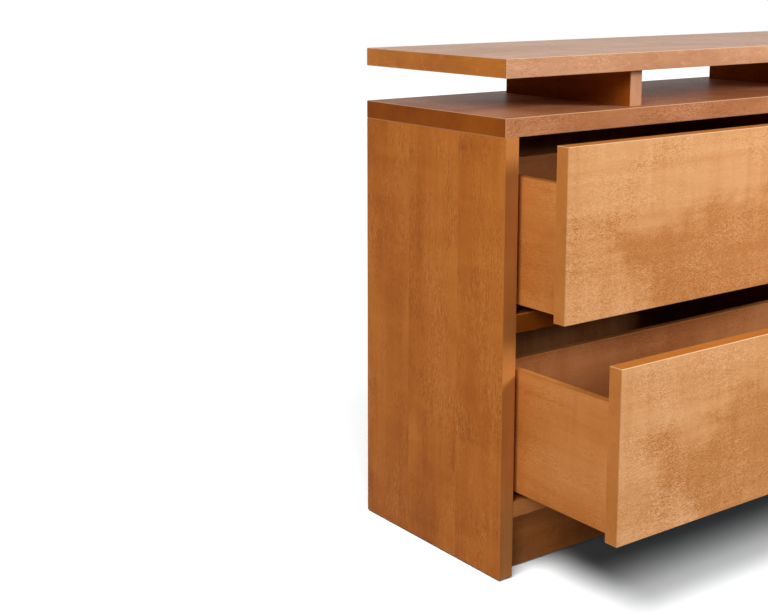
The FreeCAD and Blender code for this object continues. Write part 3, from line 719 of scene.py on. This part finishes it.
@dataclass
class Carcase:
    """The fixed boards: ends, divider, top, bottom, rails, backs, plinth and raised board."""

    frame: dict
    boards: list[Board] = field(default_factory=lambda: [
        Board("left_side_panel", Axis.Z,
              {"stave": 136.5, "glue_line": 63.5, "seed": 3, **PANEL_FIGURE}),
        Board("right_side_panel", Axis.Z, {"stave": 132.0, "seed": 11, **PANEL_FIGURE}),
        Board("centre_divider", Axis.Z, {"stave": 132.0, "seed": 5, **PANEL_FIGURE}),
        Board("carcase_top", Axis.X,
              {"seed": 7, "crinkle_depth": 0.55, "end_crinkle": 0.7, **LOWER_TOP_TONES}),
        Board("carcase_bottom", Axis.X, {"stave": 128.0, "seed": 9, **BOTTOM_TONES}),
        Board("middle_rail_left", Axis.X, {"seed": 13, **RAIL_SHADED_TONES}),
        Board("middle_rail_right", Axis.X, {"seed": 14, **RAIL_SHADED_TONES}),
        Board("plinth_front", Axis.X, {"seed": 15, **BASE_TONES}),
        Board("plinth_rear", Axis.X, {"seed": 16, **BASE_TONES}),
        Board("plinth_cross_rail", Axis.Y, {"seed": 17}),
        Board("raised_top", Axis.X,
              {"seed": 19, "crinkle_depth": 0.5, "growth": (170.0, 190.0, 26.0),
               "ring_depth": 0.2, "ring_count": 7.0, **TOP_STAIN_AND_SHEEN_TONES}),
        Board("spacer_left", Axis.Y, {"seed": 21, **SPACER_SHADED_TONES}),
        Board("spacer_centre", Axis.Y, {"seed": 22, **SPACER_SHADED_TONES}),
        Board("spacer_right", Axis.Y, {"seed": 23, **SPACER_SHADED_TONES}),
        Board("back_panel_left", Axis.Z, {"seed": 25, **PLY_TONES}),
        Board("back_panel_right", Axis.Z, {"seed": 26, **PLY_TONES}),
    ])

    def dress(self) -> None:
        """Give each board its finish."""
        for board in self.boards:
            dress_board(self.frame, board)
        beech = StainedMaple("bare_beech", Axis.X, deep="#B98A5B", middle="#CFA373",
                             pale="#E0BC90", end_deep="#A9784A", end_pale="#CFA373",
                             crinkle=(9.0, 1.6), sheen=0.0).material()
        for node in ("carcase_tenons", "spacer_tenons"):
            dress(self.frame["nodes"][node], beech)
        black = MouldedNylon("black_polythene", "#18191A", "#232425").material()
        dress(self.frame["nodes"]["floor_glides"], black)
        LOG.info("carcase: %d boards, tenons and glides", len(self.boards))


@dataclass
class Drawer:
    """One drawer: its slab front, its box and the clips under it."""

    frame: dict
    name: str
    seed: int
    # Screws through the box front into the slab, from the box's inner corner
    front_screw_inset: float = 60 * MM
    front_screw_rise: float = 45 * MM
    # Screws up through each clip, from its ends and from its front
    clip_screw_inset: float = 6 * MM
    clip_screw_back: float = 14 * MM
    # The climb of the slab's two heart lines to the right, how far from its left end each
    # has the height that DRAWERS gives, and the height over which they fade
    heart_climbs: tuple[float, float] = (0.08, -0.9)
    heart_starts: tuple[float, float] = (200 * MM, 100 * MM)
    heart_fade: float = 70 * MM
    seeds_apart: int = 7

    def dress(self) -> None:
        """Give the slab and the box their finish."""
        parts = [
            Board(f"drawer_front_{self.name}", Axis.X,
                  {**FRONT_TONES, "cloud_depth": 0.55, "crinkle_depth": 0.5,
                   "crinkle": (8.0, 2.5), "curl": (28.0, 220.0), "curl_depth": 0.32,
                   "heart": self.heart(), "heart_depth": 0.30}),
            Board(f"box_front_{self.name}", Axis.X, BOX_TONES),
            Board(f"box_back_{self.name}", Axis.X, BOX_BACK_SHADED_TONES),
            Board(f"box_left_side_{self.name}", Axis.Y, BOX_TONES),
            Board(f"box_right_side_{self.name}", Axis.Y, BOX_TONES),
            Board(f"box_bottom_{self.name}", Axis.X, PLY_TONES),
        ]
        for place, part in enumerate(parts):
            board = Board(part.node, part.grain,
                          {**part.changes, "seed": self.seed * self.seeds_apart + place})
            dress_board(self.frame, board)
        LOG.info("drawer %s: %d boards", self.name, len(parts))

    def heart(self) -> tuple[float, float, float, float, float]:
        """Give the lines between which the slab is darker.

        Returns:
            The upper line's height at X = 0 and its climb, the same for the lower line,
            which cuts off the left corner, and the height over which they fade.
        """
        low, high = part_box(f"drawer_front_{self.name}")
        lines: list[float] = []
        for share, climb, start in zip(DRAWERS[self.name], self.heart_climbs,
                                       self.heart_starts):
            lines += [low.z + share * (high.z - low.z) - climb * (low.x + start), climb]
        return (*lines, self.heart_fade)

    def screw_places(self) -> list[tuple[Vector, Way]]:
        """Give the drawer's screws.

        Returns:
            The place of each screw's seat, and the way its head faces.
        """
        low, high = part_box(f"box_front_{self.name}")
        places = []
        for across in (low.x + self.front_screw_inset, high.x - self.front_screw_inset):
            for level in (low.z + self.front_screw_rise, high.z - self.front_screw_rise):
                places.append((Vector((across, high.y, level)), Way.BACK))
        low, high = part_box(f"locking_clips_{self.name}")
        inset = self.clip_screw_inset
        for across in (low.x + inset, high.x - inset):
            for along in (low.y + inset, low.y + self.clip_screw_back):
                places.append((Vector((across, along, low.z)), Way.DOWN))
        return places


@dataclass
class Runners:
    """The undermount runners of one drawer, and the screws that hold its rails."""

    frame: dict
    name: str
    steel: bpy.types.Material
    nylon: bpy.types.Material
    screws: int = 3
    screw_pitch: float = 112 * MM
    screw_inset: float = 28 * MM
    screw_rise: float = 26 * MM
    gauge: float = 1.5 * MM

    def dress(self) -> None:
        """Give the rails, bars, carriages and clips their finish."""
        for kind in ("rails", "slides", "carriages"):
            dress(self.frame["nodes"][f"runner_{kind}_{self.name}"], self.steel)
        dress(self.frame["nodes"][f"locking_clips_{self.name}"], self.nylon)
        LOG.info("runners %s", self.name)

    def screw_places(self) -> list[tuple[Vector, Way]]:
        """Give the screws of the two rails.

        Returns:
            The place of each screw's seat, and the way its head faces.
        """
        low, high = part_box(f"runner_rails_{self.name}")
        level = low.z + self.screw_rise
        places = []
        for step in range(self.screws):
            along = low.y + self.screw_inset + step * self.screw_pitch
            places.append((Vector((low.x + self.gauge, along, level)), Way.RIGHT))
            places.append((Vector((high.x - self.gauge, along, level)), Way.LEFT))
        return places


@dataclass
class ScrewMaker:
    """Pan-head wood screws with a cross recess. Only the head shows, so only it is made."""

    steel: bpy.types.Material
    head_radius: float = 3.6 * MM
    head_height: float = 2.2 * MM
    flat_radius: float = 2.5 * MM
    # The wall's share of the height, and the shoulder's shares of the radius and height
    wall: float = 0.35
    shoulder: tuple[float, float] = (0.93, 0.78)
    slot_long: float = 1.9 * MM
    slot_wide: float = 0.45 * MM
    slot_deep: float = 1.3 * MM
    slot_taper: float = 0.6
    # The turn from one screw's recess to the next one's, in radians
    spin_step: float = 0.7
    steps: int = 24

    def head(self) -> bmesh.types.BMesh:
        """Make one head that stands on Z = 0 and faces +Z.

        Returns:
            The head's mesh.
        """
        mesh = bmesh.new()
        rim = bmesh.ops.create_circle(mesh, cap_ends=True, segments=self.steps,
                                      radius=self.head_radius)
        edges = list({edge for vert in rim["verts"] for edge in vert.link_edges})
        for radius, level in ((self.head_radius, self.wall),
                              (self.head_radius * self.shoulder[0], self.shoulder[1]),
                              (self.flat_radius, 1.0)):
            made = bmesh.ops.extrude_edge_only(mesh, edges=edges)["geom"]
            verts = [item for item in made if isinstance(item, bmesh.types.BMVert)]
            edges = [item for item in made if isinstance(item, bmesh.types.BMEdge)]
            for vert in verts:
                flat = Vector((vert.co.x, vert.co.y)).normalized() * radius
                vert.co = Vector((flat.x, flat.y, self.head_height * level))
        cross = self.cross(mesh)
        bmesh.ops.bridge_loops(mesh, edges=edges + cross)
        sunk = bmesh.ops.extrude_edge_only(mesh, edges=cross)["geom"]
        low = [item for item in sunk if isinstance(item, bmesh.types.BMVert)]
        for vert in low:
            vert.co = Vector((vert.co.x * self.slot_taper, vert.co.y * self.slot_taper,
                              vert.co.z - self.slot_deep))
        floor = [item for item in sunk if isinstance(item, bmesh.types.BMEdge)]
        bmesh.ops.holes_fill(mesh, edges=floor)
        bmesh.ops.recalc_face_normals(mesh, faces=mesh.faces)
        return mesh

    def cross(self, mesh: bmesh.types.BMesh) -> list[bmesh.types.BMEdge]:
        """Draw the recess's outline on top of the head.

        Args:
            mesh: The head.

        Returns:
            The outline's edges.
        """
        long, wide = self.slot_long, self.slot_wide
        corner = [(long, wide), (wide, wide), (wide, long)]
        verts = []
        for quarter in range(4):
            turn = Matrix.Rotation(quarter * math.pi / 2, 3, "Z")
            for across, along in corner:
                verts.append(mesh.verts.new(turn @ Vector((across, along, self.head_height))))
        return [mesh.edges.new((verts[i], verts[(i + 1) % len(verts)]))
                for i in range(len(verts))]

    def place(self, name: str, places: list[tuple[Vector, Way]]) -> bpy.types.Object:
        """Make one piece of all the screws of a group.

        Args:
            name: The piece's name.
            places: Where each screw's head sits, and the way it faces.

        Returns:
            The piece, at rest in the frame.
        """
        mesh = bmesh.new()
        for number, (where, way) in enumerate(places):
            head = self.head()
            turn = Vector(way.value).to_track_quat("Z", "Y").to_matrix().to_4x4()
            spin = Matrix.Rotation(number * self.spin_step, 4, "Z")
            bmesh.ops.transform(head, matrix=Matrix.Translation(where) @ turn @ spin,
                                verts=head.verts)
            part = bpy.data.meshes.new("screw_part")
            head.to_mesh(part)
            mesh.from_mesh(part)
            bpy.data.meshes.remove(part)
            head.free()
        piece = new_piece(name, mesh)
        dress(piece, self.steel)
        LOG.info("%s: %d screws", name, len(places))
        return piece


def dress_board(frame: dict, board: Board) -> None:
    """Give one board its own stained finish.

    Args:
        frame: The loaded frame.
        board: The board.
    """
    changes = {**CASE_TONES, **board.changes}
    dress(frame["nodes"][board.node], StainedMaple(f"maple_{board.node}", board.grain,
                                                   **changes).material())


@dataclass(frozen=True)
class Lamp:
    """A soft rectangular studio lamp, kept off the paper by a flag."""

    name: str
    place: tuple[float, float, float]
    target: tuple[float, float, float]
    size: tuple[float, float]
    watts: float
    # A lamp behind heavy silk shows no reflection in the lacquer
    mirrored: bool = True

    def hang(self) -> None:
        """Put the lamp in the scene."""
        data = bpy.data.lights.new(self.name, "AREA")
        data.shape = "RECTANGLE"
        data.size, data.size_y = self.size
        data.energy = self.watts
        lamp = hang_light(self.name, data, self.place, self.target)
        lamp.visible_glossy = self.mirrored
        limit_light(lamp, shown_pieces())


@dataclass(frozen=True)
class PaperLight:
    """An even light on the paper alone, which gives the piece a soft shadow."""

    name: str
    # Where it shines from, in metres aside and back for one metre of height
    aside: tuple[float, float]
    strength: float
    spread: float = math.radians(28)

    def hang(self, paper: bpy.types.Object) -> None:
        """Put the light in the scene.

        Args:
            paper: The floor.
        """
        data = bpy.data.lights.new(self.name, "SUN")
        data.energy = self.strength
        data.angle = self.spread
        lamp = hang_light(self.name, data, (*self.aside, 1.0), (0.0, 0.0, 0.0))
        limit_light(lamp, [paper])


def hang_light(name: str, data: bpy.types.Light, place: tuple[float, float, float],
               target: tuple[float, float, float]) -> bpy.types.Object:
    """Link a light to the scene and aim it.

    Args:
        name: The light's name.
        data: The light.
        place: Where it hangs.
        target: What it is aimed at.

    Returns:
        The light's object.
    """
    lamp = bpy.data.objects.new(name, data)
    lamp.location = place
    aim = Vector(target) - Vector(place)
    lamp.rotation_euler = aim.to_track_quat("-Z", "Y").to_euler()
    bpy.context.scene.collection.objects.link(lamp)
    return lamp


def limit_light(lamp: bpy.types.Object, lit: list[bpy.types.Object]) -> None:
    """Let a light fall on some objects alone.

    Args:
        lamp: The light.
        lit: The objects that it lights.
    """
    group = bpy.data.collections.new(f"{lamp.name}_lights")
    for item in lit:
        group.objects.link(item)
    lamp.light_linking.receiver_collection = group


@dataclass
class Studio:
    """The plain white studio: floor, ambient light, lamps and camera."""

    ambient: float = 0.07
    floor_half: float = 9.0
    # The distances from the piece's footprint between which the paper turns plain white
    clear_from: float = 0.15
    clear_to: float = 0.60
    # The paper as it lights the piece, as the camera sees it, and a cool glow painted into
    # its shadow
    paper_dim: str = "#5C5C5C"
    paper_seen: str = "#A0A0A0"
    painted_shadow_glow: tuple[str, float] = ("#73E6FF", 0.022)
    lamps: tuple[Lamp, ...] = (
        Lamp("key", (-3.72, -1.60, 2.50), (-0.5, -0.2, 0.45), (2.1, 1.7), 106.0),
        Lamp("front", (1.92, -2.80, 1.86), (-0.3, -0.3, 0.5), (1.4, 1.0), 153.0, False),
        Lamp("right", (4.4, -0.4, 0.9), (0.5, 0.0, 0.5), (1.8, 1.2), 46.0),
        Lamp("back", (0.3, 4.2, 1.0), (0.0, 0.0, 0.5), (3.0, 1.2), 95.0, False),
    )
    paper_lights: tuple[PaperLight, ...] = (
        PaperLight("paper_front", (-0.58, -0.84), 5.6),
        PaperLight("paper_side", (-0.58, -0.17), 7.0),
    )
    camera_place: tuple[float, float, float] = (-2.349736, -1.817974, 1.031700)
    camera_yaw: float = 36.244
    camera_pitch: float = -9.610
    focal_pixels: float = 1348.594
    shift_pixels: float = -110.0
    sensor_mm: float = 36.0

    def seen(self, tree: bpy.types.NodeTree) -> bpy.types.NodeSocket:
        """Tell the rays that show the background: camera, mirror and glass rays.

        Args:
            tree: The node tree.

        Returns:
            1 for these rays, and 0 for the rest.
        """
        path = add_node(tree, "LightPath")
        some = add_node(tree, "Math", {0: path.outputs["Is Camera Ray"],
                                       1: path.outputs["Is Glossy Ray"]}, operation="MAXIMUM")
        return add_node(tree, "Math", {0: some.outputs[0],
                                       1: path.outputs["Is Transmission Ray"]},
                        operation="MAXIMUM").outputs[0]

    def light_world(self) -> None:
        """Make a white background and an even ambient light."""
        world = bpy.data.worlds.new("studio")
        bpy.context.scene.world = world
        world.use_nodes = True
        tree = world.node_tree
        tree.nodes.clear()
        soft = add_node(tree, "Background", {"Color": linear(WHITE),
                                             "Strength": self.ambient})
        white = add_node(tree, "Background", {"Color": linear(WHITE), "Strength": 1.0})
        mix = add_node(tree, "MixShader", {0: self.seen(tree), 1: soft.outputs[0],
                                           2: white.outputs[0]})
        add_node(tree, "OutputWorld", {"Surface": mix.outputs[0]})

    def floor_material(self) -> bpy.types.Material:
        """Build the white paper sweep, which turns to plain white away from the piece.

        Returns:
            The material.
        """
        material, tree, output = new_tree("paper_sweep")
        plain = add_node(tree, "BsdfDiffuse", {"Color": linear(self.paper_dim)})
        # The camera sees the lit paper as white and keeps its shadow, into which a faint cool
        # glow is painted on the paper
        matt = add_node(tree, "BsdfDiffuse", {"Color": linear(self.paper_seen)})
        tint, strength = self.painted_shadow_glow
        glow = add_node(tree, "Emission", {"Color": linear(tint), "Strength": strength})
        bright = add_node(tree, "AddShader", {0: matt.outputs[0], 1: glow.outputs[0]})
        # How far a point lies outside the piece's footprint, its open drawers included
        low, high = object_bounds()
        middle, half = (low + high) / 2, (high - low) / 2
        where = add_node(tree, "TexCoord").outputs["Object"]
        from_middle = add_node(tree, "VectorMath", {0: where, 1: (middle.x, middle.y, 0.0)},
                               operation="SUBTRACT")
        size = add_node(tree, "VectorMath", {0: from_middle.outputs[0]}, operation="ABSOLUTE")
        outside = add_node(tree, "VectorMath", {0: size.outputs[0], 1: (half.x, half.y, 0.0)},
                           operation="SUBTRACT")
        beyond = add_node(tree, "VectorMath", {0: outside.outputs[0]}, operation="MAXIMUM")
        away = add_node(tree, "VectorMath", {0: beyond.outputs[0]}, operation="LENGTH")
        clear = add_node(tree, "MapRange", {"Value": away.outputs["Value"],
                                            "From Min": self.clear_from,
                                            "From Max": self.clear_to},
                         interpolation_type="SMOOTHSTEP")
        white = add_node(tree, "Emission", {"Color": linear(WHITE), "Strength": 1.0})
        sweep = add_node(tree, "MixShader", {0: clear.outputs[0], 1: bright.outputs[0],
                                             2: white.outputs[0]})
        mix = add_node(tree, "MixShader", {0: self.seen(tree), 1: plain.outputs[0],
                                           2: sweep.outputs[0]})
        tree.links.new(mix.outputs[0], output.inputs["Surface"])
        return material

    def lay_floor(self) -> None:
        """Lay the floor under the piece, and light it."""
        mesh = bmesh.new()
        bmesh.ops.create_grid(mesh, x_segments=2, y_segments=2, size=self.floor_half)
        floor = new_piece("studio_floor", mesh)
        dress(floor, self.floor_material())
        floor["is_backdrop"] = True
        for light in self.paper_lights:
            light.hang(floor)

    def set_camera(self) -> None:
        """Set the camera at the photograph's place, with its lens and shift."""
        yaw, pitch = math.radians(self.camera_yaw), math.radians(self.camera_pitch)
        ahead = Vector((math.sin(yaw) * math.cos(pitch), math.cos(yaw) * math.cos(pitch),
                        math.sin(pitch)))
        data = bpy.data.cameras.new("camera")
        data.sensor_width = self.sensor_mm
        data.lens = self.focal_pixels * data.sensor_width / PICTURE_WIDTH
        data.shift_y = self.shift_pixels / PICTURE_WIDTH
        camera = bpy.data.objects.new("camera", data)
        camera.location = self.camera_place
        camera.rotation_mode = "QUATERNION"
        camera.rotation_quaternion = ahead.to_track_quat("-Z", "Y")
        bpy.context.scene.collection.objects.link(camera)
        bpy.context.scene.camera = camera

    def build(self) -> None:
        """Build the whole studio."""
        bpy.context.scene.view_settings.view_transform = "Standard"
        self.light_world()
        self.lay_floor()
        for lamp in self.lamps:
            lamp.hang()
        self.set_camera()
        LOG.info("studio: %d lamps, floor and camera", len(self.lamps))


def clear_scene() -> None:
    """Remove whatever Blender starts with."""
    for item in list(bpy.data.objects):
        bpy.data.objects.remove(item)


def main() -> None:
    """Build the dressed sideboard and its studio."""
    logging.basicConfig(level=logging.INFO, format="%(message)s")
    clear_scene()
    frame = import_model()
    Carcase(frame).dress()
    steel = ZincPlatedSteel().material()
    nylon = MouldedNylon("grey_nylon", "#4C4F54", "#5A5E64").material()
    screws = ScrewMaker(steel)
    for seed, name in enumerate(DRAWERS, start=4):
        drawer = Drawer(frame, name, seed)
        drawer.dress()
        runners = Runners(frame, name, steel, nylon)
        runners.dress()
        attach(screws.place(f"drawer_screws_{name}", drawer.screw_places()),
                f"drawer_{name}")
        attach(screws.place(f"rail_screws_{name}", runners.screw_places()), "carcase")
    Studio().build()


if __name__ == "__main__":
    main()
